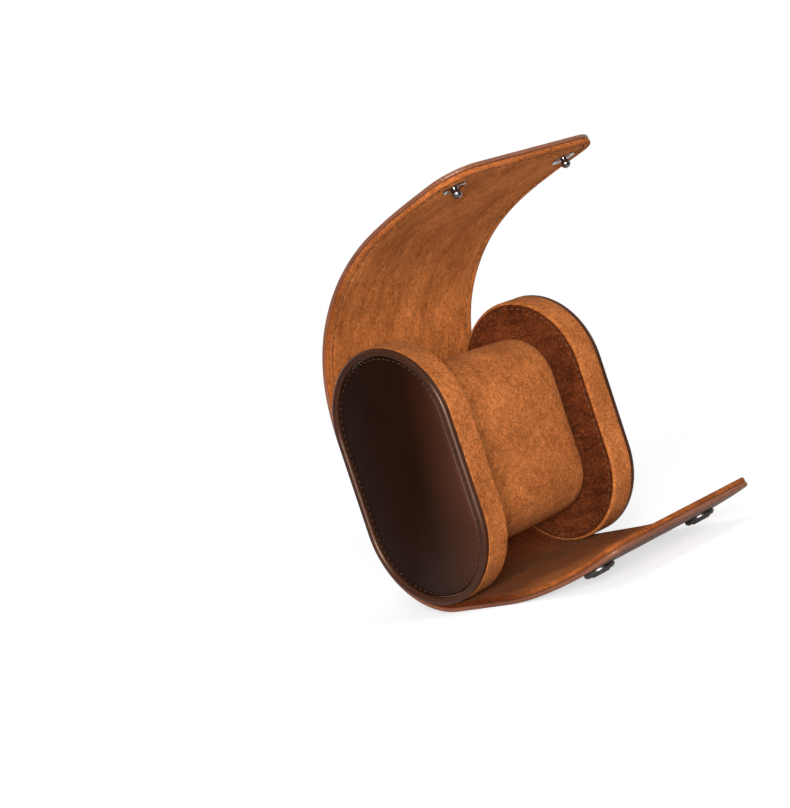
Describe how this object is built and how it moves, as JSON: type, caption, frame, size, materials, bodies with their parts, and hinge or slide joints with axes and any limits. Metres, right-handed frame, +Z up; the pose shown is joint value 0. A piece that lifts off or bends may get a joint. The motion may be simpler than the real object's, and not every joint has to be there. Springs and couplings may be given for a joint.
{
  "type": "watch travel case",
  "caption": "Oval travel case for a watch: leather strip lined with suede closes round padded end discs and a cushion with ball snaps.",
  "frame": {"origin": "on the surface that the open case stands on, under the middle of its bounding box", "axes": "+X along the case from the left disc to the right disc, -Y out of the opening, +Z up"},
  "size_m": [0.0804, 0.1045, 0.1347],
  "materials": {
    "face_leather": "smooth, semi-gloss dark brown",
    "strip_leather": "fine cross grain, satin brown",
    "suede": "brushed caramel suede",
    "dark_suede": "brushed dark brown suede",
    "board": "plain pressed fibre board",
    "foam": "soft foam",
    "snap_metal": "dark nickel, polished"
  },
  "bodies": {
    "case": {"back_leather": "strip_leather", "back_board": "board", "back_lining": "suede", "left_face_leather": "face_leather", "left_piping": "face_leather", "left_face_board": "board", "left_disc_foam": "foam", "left_side_band": "suede", "left_inner_face": "dark_suede", "right_face_leather": "face_leather", "right_piping": "face_leather", "right_face_board": "board", "right_disc_foam": "foam", "right_side_band": "suede", "right_inner_face": "dark_suede"},
    "flap_1": {"flap_leather_1": "strip_leather", "flap_lining_1": "suede"},
    "flap_2": {"flap_leather_2": "strip_leather", "flap_lining_2": "suede"},
    "flap_3": {"flap_leather_3": "strip_leather", "flap_lining_3": "suede"},
    "flap_4": {"flap_leather_4": "strip_leather", "flap_lining_4": "suede"},
    "flap_5": {"flap_leather_5": "strip_leather", "flap_lining_5": "suede"},
    "flap_6": {"flap_leather_6": "strip_leather", "flap_lining_6": "suede"},
    "flap_7": {"flap_leather_7": "strip_leather", "flap_lining_7": "suede"},
    "flap_panel": {"flap_leather_panel": "strip_leather", "flap_lining_panel": "suede", "flap_board": "board", "snap_studs": "snap_metal", "stud_backs": "snap_metal"},
    "lip_1": {"lip_leather_1": "strip_leather", "lip_lining_1": "suede"},
    "lip_2": {"lip_leather_2": "strip_leather", "lip_lining_2": "suede"},
    "lip_3": {"lip_leather_3": "strip_leather", "lip_lining_3": "suede"},
    "lip_panel": {"lip_leather_panel": "strip_leather", "lip_lining_panel": "suede", "lip_board": "board", "snap_sockets": "snap_metal", "socket_washers": "snap_metal", "snap_springs": "snap_metal"},
    "cushion": {"cushion_cover": "suede", "cushion_ends": "suede", "cushion_foam": "foam"}
  },
  "joints": [
    {"name": "flap_bend_1", "type": "hinge", "parent": "case", "child": "flap_1", "pos_m": [0, 0.04908, 0.0632], "axis": [1, 0, 0], "range_deg": [0, 6.51]},
    {"name": "flap_bend_2", "type": "hinge", "parent": "flap_1", "child": "flap_2", "pos_m": [0, 0.04791, 0.07663], "axis": [1, 0, 0], "range_deg": [0, 16.01]},
    {"name": "flap_bend_3", "type": "hinge", "parent": "flap_2", "child": "flap_3", "pos_m": [0, 0.04386, 0.08947], "axis": [1, 0, 0], "range_deg": [0, 14.01]},
    {"name": "flap_bend_4", "type": "hinge", "parent": "flap_3", "child": "flap_4", "pos_m": [0, 0.03663, 0.10082], "axis": [1, 0, 0], "range_deg": [0, 14.01]},
    {"name": "flap_bend_5", "type": "hinge", "parent": "flap_4", "child": "flap_5", "pos_m": [0, 0.02694, 0.11018], "axis": [1, 0, 0], "range_deg": [0, 12.51]},
    {"name": "flap_bend_6", "type": "hinge", "parent": "flap_5", "child": "flap_6", "pos_m": [0, 0.01551, 0.11732], "axis": [1, 0, 0], "range_deg": [0, 10.51]},
    {"name": "flap_bend_7", "type": "hinge", "parent": "flap_6", "child": "flap_7", "pos_m": [0, 0.00296, 0.12227], "axis": [1, 0, 0], "range_deg": [0, 11.51]},
    {"name": "flap_bend_8", "type": "hinge", "parent": "flap_7", "child": "flap_panel", "pos_m": [0, -0.01008, 0.12576], "axis": [1, 0, 0], "range_deg": [0, 16]},
    {"name": "lip_bend_1", "type": "hinge", "parent": "case", "child": "lip_1", "pos_m": [0, 0.02148, 0.0032], "axis": [-1, 0, 0], "range_deg": [0, 8.01]},
    {"name": "lip_bend_2", "type": "hinge", "parent": "lip_1", "child": "lip_2", "pos_m": [0, 0.00998, 0.0032], "axis": [-1, 0, 0], "range_deg": [0, 24.51]},
    {"name": "lip_bend_3", "type": "hinge", "parent": "lip_2", "child": "lip_3", "pos_m": [0, -0.00152, 0.0032], "axis": [-1, 0, 0], "range_deg": [0, 20.01]},
    {"name": "lip_bend_4", "type": "hinge", "parent": "lip_3", "child": "lip_panel", "pos_m": [0, -0.01298, 0.004], "axis": [-1, 0, 0], "range_deg": [0, 22]},
    {"name": "cushion_slide", "type": "slide", "parent": "case", "child": "cushion", "axis": [0, -1, 0], "range_m": [0, 0.008]}
  ],
  "couplings": [
    {"joint": "flap_bend_1", "follows": "flap_bend_8", "ratio": 0.40625},
    {"joint": "flap_bend_2", "follows": "flap_bend_8", "ratio": 1},
    {"joint": "flap_bend_3", "follows": "flap_bend_8", "ratio": 0.875},
    {"joint": "flap_bend_4", "follows": "flap_bend_8", "ratio": 0.875},
    {"joint": "flap_bend_5", "follows": "flap_bend_8", "ratio": 0.78125},
    {"joint": "flap_bend_6", "follows": "flap_bend_8", "ratio": 0.65625},
    {"joint": "flap_bend_7", "follows": "flap_bend_8", "ratio": 0.71875},
    {"joint": "lip_bend_1", "follows": "lip_bend_4", "ratio": 0.36364},
    {"joint": "lip_bend_2", "follows": "lip_bend_4", "ratio": 1.1136},
    {"joint": "lip_bend_3", "follows": "lip_bend_4", "ratio": 0.90909}
  ]
}
